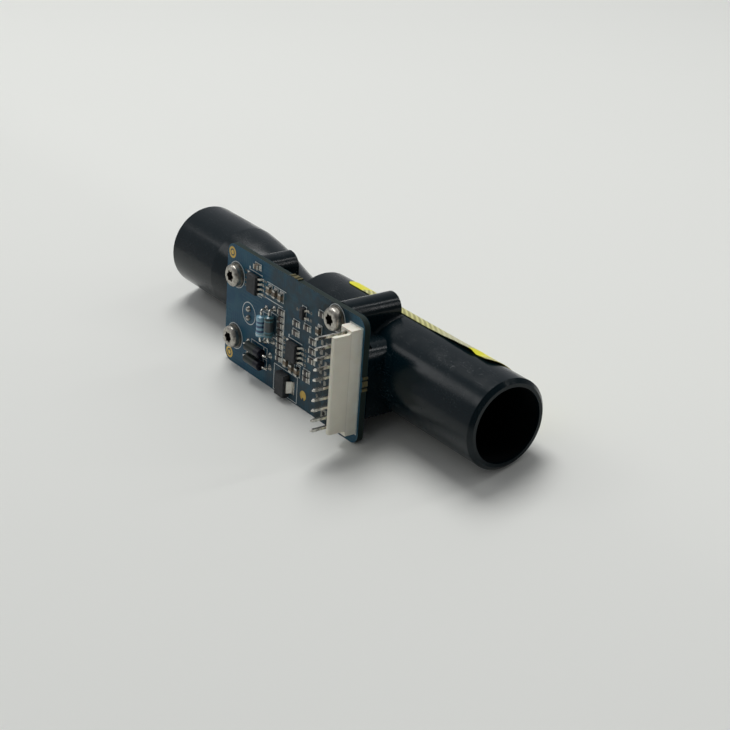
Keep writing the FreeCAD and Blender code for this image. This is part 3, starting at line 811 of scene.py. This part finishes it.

# bare pads, gold marks and plated holes that carry no part; the holes are dark discs of painted shade
padSet = {
    "high": 0.035,
    "spareRows": {"x": -47.6, "top": 4.3, "pitch": 2.45, "count": 5, "size": (0.9, 1.2), "apart": 1.9,
                  "inset": 0.2, "high": 0.12},
    "squareHole": {"x": -46.4, "z": -13.3, "half": 1.15, "hole": 0.55, "high": 0.01},
    "goldRing": {"at": [(-88.1, 13.4), (-88.0, -13.6)], "inner": 0.95, "outer": 1.5, "dot": (0.6, 0.4)},
    "goldDot": {"x": -55.1, "z": -12.2, "radius": 1.25, "notch": 0.3, "notchPart": 0.45},
    "via": {"pad": 0.36, "hole": 0.17, "beyond": 1.25, "high": 0.012, "widest": 1.0},  # beside thin leads
    "bump": {"at": [(-48.9, 1.5), (-49.1, -1.7), (-49.5, -9.8)],  # filled holes beside the pins
             "profile": [(0.42, 0), (0.42, 0.035), (0.3, 0.12), (0.12, 0.16)]},
}


def addSparePads(tin):
    spare = padSet["spareRows"]
    wide, tall = spare["size"]
    for k in range(spare["count"]):
        z = spare["top"] - k * spare["pitch"]
        for x in (spare["x"] - spare["apart"] / 2, spare["x"] + spare["apart"] / 2):
            addMound(tin, x - wide / 2, x + wide / 2, z - tall / 2, z + tall / 2,
                     spare["inset"], spare["high"])
    for x, z in padSet["bump"]["at"]:
        addSpun(tin, x, z, padSet["bump"]["profile"])


def addHoles(tin, dark):
    square = padSet["squareHole"]
    x, z, half, hole = square["x"], square["z"], square["half"], square["hole"]
    addFrame(tin, x - half, x + half, z - half, z + half, half - hole, padSet["high"])
    # painted shade: a dark square in the hole
    addBar(dark, x - hole, x + hole, z - hole, z + hole, square["high"])
    via = padSet["via"]
    for x, z, side, width in toes:
        if width < via["widest"]:
            place = x + side * via["beyond"]
            addHoop(tin, place, z, via["hole"], via["pad"], padSet["high"])
            # painted shade: a dark disc in the hole of the via
            addSpun(dark, place, z, [(via["hole"], 0), (via["hole"], via["high"])])


def addGold(gold):
    high = padSet["high"]
    mark = padSet["goldRing"]
    wide, narrow = mark["dot"]
    for x, z in mark["at"]:
        addHoop(gold, x, z, mark["inner"], mark["outer"], high)
        addSpun(gold, x, z, [(wide, 0), (wide, high), (narrow, 2 * high)])
    dot = padSet["goldDot"]
    ring = []
    for x, y, z in circle(0, 0, dot["radius"], 0, count=36):
        part = dot["notchPart"] if z < 0 and abs(x) < dot["notch"] else 1.0
        ring.append((dot["x"] + x, dot["z"] + z * part))
    gold.loft([[onBoard(x, z, up) for x, z in ring] for up in (0, high)])


def addPads():
    tin, gold, dark = Stock(), Stock(), Stock()
    addSparePads(tin)
    addHoles(tin, dark)
    addGold(gold)
    makePiece("barePads", tin, smallFinish("padTin"), 50)
    makePiece("goldMarks", gold, smallFinish("padGold"))
    # dark discs of painted shade in the holes
    makePiece("holeShadeDiscs", dark, smallFinish("holeShade"))


addPads()

# white print: outlines round the parts, rings round screws and probe, dots at the first leads
printSet = {
    "line": 0.2,
    "high": 0.025,
    "chipMargin": (0.45, 0.27),  # along and across a chip
    "margins": {  # sideways and upward, round the bodies of these nodes
        "transistor_body": (0.2, 0.3),
        "diode_bodies": (0.3, 0.15),
        "bridge_resistors": (0.2, 0.4),
    },
    "diodeMark": 1.5,  # from the right end of a diode
    "blockMargin": (3.2, 0.5),
    "edgeGap": 0.3,  # bare strip along the low edge of the board
    "amplifierBars": {"below": 0.45, "above": 0.3, "beyond": 1.0},
    "amplifierDot": {"radius": 0.3, "left": 0.7, "above": 0.9},
    "headerMargin": {"left": 0.35, "right": 0.3, "upward": 0.3},
    "probeRing": 2.95,
    "screwRing": 3.45,
    "lines": [(-73.3, -65.2, 6.8), (-72.4, -64.2, 11.05)],  # x from, x to, z
}


def printFrame(stock, x0, x1, z0, z1):
    addFrame(stock, x0, x1, z0, z1, printSet["line"], printSet["high"])


def printBar(stock, x0, x1, z):
    addBar(stock, x0, x1, z, z + printSet["line"], printSet["high"])


def printRing(stock, x, z, radius):
    addHoop(stock, x, z, radius - printSet["line"], radius, printSet["high"])


def printChips(stock):
    long = chipHalf["along"] + printSet["chipMargin"][0]
    wide = chipHalf["across"] + printSet["chipMargin"][1]
    for low, top in chipBoxes:
        middle = middleOf(low, top)
        halfX, halfZ = (wide, long) if isUpright(low, top) else (long, wide)
        printFrame(stock, middle.x - halfX, middle.x + halfX, middle.z - halfZ, middle.z + halfZ)


def printPackages(stock):
    bars, dot = printSet["amplifierBars"], printSet["amplifierDot"]
    for low, top in solidBoxes("amplifier_bodies"):
        for z in (low.z - bars["below"], top.z + bars["above"]):
            printBar(stock, low.x - bars["beyond"], top.x + bars["beyond"], z)
        profile = [(dot["radius"], 0), (dot["radius"], printSet["high"])]
        addSpun(stock, low.x - dot["left"], top.z + dot["above"], profile)
    low, top = solidBoxes("power_block")[0]
    sideways, upward = printSet["blockMargin"]
    foot = max(low.z - upward, boardLow.z + printSet["edgeGap"])
    printFrame(stock, low.x - sideways, top.x + sideways, foot, top.z + upward)
    for x0, x1, z in printSet["lines"]:
        printBar(stock, x0, x1, z)


def printBodies(stock):
    for name, (sideways, upward) in printSet["margins"].items():
        for low, top in solidBoxes(name):
            printFrame(stock, low.x - sideways, top.x + sideways, low.z - upward, top.z + upward)
    upward = printSet["margins"]["diode_bodies"][1]
    for low, top in solidBoxes("diode_bodies"):
        mark = top.x - printSet["diodeMark"]
        addBar(stock, mark, mark + 2 * printSet["line"], low.z - upward, top.z + upward, printSet["high"])
    margin = printSet["headerMargin"]
    low, top = (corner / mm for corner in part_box("header_housing"))
    printFrame(stock, low.x - margin["left"], top.x + margin["right"],
               low.z - margin["upward"], top.z + margin["upward"])


def printRings(stock):
    probe = sum(postMiddles, Vector()) / len(postMiddles)
    printRing(stock, probe.x, probe.z, printSet["probeRing"])
    for screw in screwMiddles:
        printRing(stock, screw.x, screw.z, printSet["screwRing"])


def addPrint():
    stock = Stock()
    printChips(stock)
    printPackages(stock)
    printBodies(stock)
    printRings(stock)
    makePiece("boardPrint", stock, smallFinish("printWhite"))


addPrint()
print("solder, pads and print laid")

# label: thin film wrapped over the tube, its near edge lifted and wavy towards the outlet
labelSet = {
    "steps": (150, 56),  # along the tube and round it
    "crowding": 1.4,  # over 1 puts more of the steps at the near edge
    "thick": 0.12,
    "corner": 2.2,
    "trim": 0.4,  # mm cut off the near edge
    "lifts": [(-66, 0), (-32, 0), (-27, 0.2), (-21, 0.6), (-16.5, 0.8), (-14.2, 0.2), (-12, 0.4),
              (-9, 0.8)],  # x and height of the near edge
    "liftReach": 6.5,  # mm of film that has come away
    "liftCurve": 1.6,
    "yellow": (250, 244, 16),
    "straw": (226, 223, 150),
    "olive": (164, 160, 92),
    "cream": (212, 210, 174),
    "curl": (206, 200, 132),
    "hatch": 2.0,  # mm from line to line along the tube
    "slant": 1.4,
    "border": 6.0,  # width of the two hatched strips
    "fade": (-34, -24),  # x where straw turns to cream and the hatch to a trace
    "leftEnd": 6.5,
    "rightEnd": 8.2,
    "curlEnd": 3.6,
    "rough": 0.36,
}


def labelSpan():  # corners of the CAD label in mm, angle of its near edge, and its width round the tube
    low, high = (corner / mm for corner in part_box("label"))
    near = math.acos(low.y / math.hypot(low.y, high.z))
    far = math.asin(low.z / high.y)
    return low, high, near, (near - far) * high.y


def labelLift(x):  # smooth line through the lifts
    for (x0, high0), (x1, high1) in zip(labelSet["lifts"], labelSet["lifts"][1:]):
        if x <= x1:
            part = (x - x0) / (x1 - x0)
            return high0 + (high1 - high0) * part * part * (3 - 2 * part)
    return labelSet["lifts"][-1][1]


def labelPoint(span, x, share, skin):  # share of the way from the near edge to the far one
    low, high, near, wrap = span
    corner = labelSet["corner"]
    away = labelSet["trim"] + (wrap - labelSet["trim"]) * share ** labelSet["crowding"]
    fromEnd = min(x - low.x, high.x - x)
    if fromEnd < corner:
        cut = corner - math.sqrt(corner ** 2 - (corner - fromEnd) ** 2)
        away = cut + (wrap - 2 * cut) * away / wrap
    peel = max(0, 1 - away / labelSet["liftReach"])
    radius = skin + labelLift(x) * peel ** labelSet["liftCurve"]
    turn = near - away / high.y
    return (x, radius * math.cos(turn), radius * math.sin(turn))


def labelWiring(wire):
    low, high, near, wrap = labelSpan()
    at = wire.place()
    x, y, z = (wire.axis(at, name) for name in "XYZ")
    down = (near - wire.math("ARCTAN2", z, y)) * high.y
    fromLeft, fromRight = x - low.x, high.x - x
    cloud = wire.noise(at, 0.5, 3)
    slant = (x + labelSet["slant"] * down) * (2 * math.pi / labelSet["hatch"]) + cloud * 2
    border = (abs(down - wrap / 2) - wrap / 2).step(-labelSet["border"] - 0.3, -labelSet["border"])
    faded = x.step(*labelSet["fade"])
    hatch = wire.math("SINE", slant).step(-0.5, 0.5) * border * (0.95 - 0.65 * faded)
    leftEnd = fromLeft.step(labelSet["leftEnd"] + 0.3, labelSet["leftEnd"] - 0.3)
    rightEnd = fromRight.step(labelSet["rightEnd"] + 0.3, labelSet["rightEnd"] - 0.3)
    curled = fromRight.step(labelSet["curlEnd"] + 1.2, labelSet["curlEnd"] - 1.2)
    curled = curled * down.step(labelSet["liftReach"], labelSet["liftReach"] / 3)
    colour = wire.blend(faded, paint(*labelSet["straw"]), paint(*labelSet["cream"]))
    colour = wire.blend(hatch, colour, paint(*labelSet["olive"]))
    colour = wire.blend(wire.math("MAXIMUM", leftEnd, rightEnd), colour, paint(*labelSet["yellow"]))
    colour = wire.blend(curled * 0.85, colour, paint(*labelSet["curl"]))
    colour = wire.blend(cloud * 0.25, colour, paint(*labelSet["olive"], share=0.8))
    return {"Base Color": colour, "Roughness": labelSet["rough"] + 0.2 * cloud,
            "Normal": wire.bump(wire.noise(at, 1.2, 4), 0.03, 0.3)}


def addLabel():
    span = labelSpan()
    low, high = span[:2]
    along, across = labelSet["steps"]
    row = across + 1
    stock = Stock()
    for skin in (high.y, high.y - labelSet["thick"]):
        for i in range(along + 1):
            x = low.x + (high.x - low.x) * i / along
            stock.addRings([[labelPoint(span, x, j / across, skin) for j in range(row)]])
    under = (along + 1) * row  # corners of the outer skin, after which the inner one starts
    for i in range(along):
        for j in range(across):
            a, b = i * row + j, (i + 1) * row + j
            stock.faces.append((a, b, b + 1, a + 1))
            stock.faces.append((under + a, under + a + 1, under + b + 1, under + b))
    rim = [i * row for i in range(along + 1)] + [along * row + j for j in range(1, row)]
    rim += [i * row + across for i in range(along - 1, -1, -1)] + [j for j in range(across - 1, 0, -1)]
    for a, b in zip(rim, rim[1:] + rim[:1]):
        stock.faces.append((a, b, under + b, under + a))
    film = makeFinish("labelFilm", labelWiring, {"Specular IOR Level": 0.5})
    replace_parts(makePiece("labelFilm", stock, film, 50), "label")


addLabel()
print("label laid")
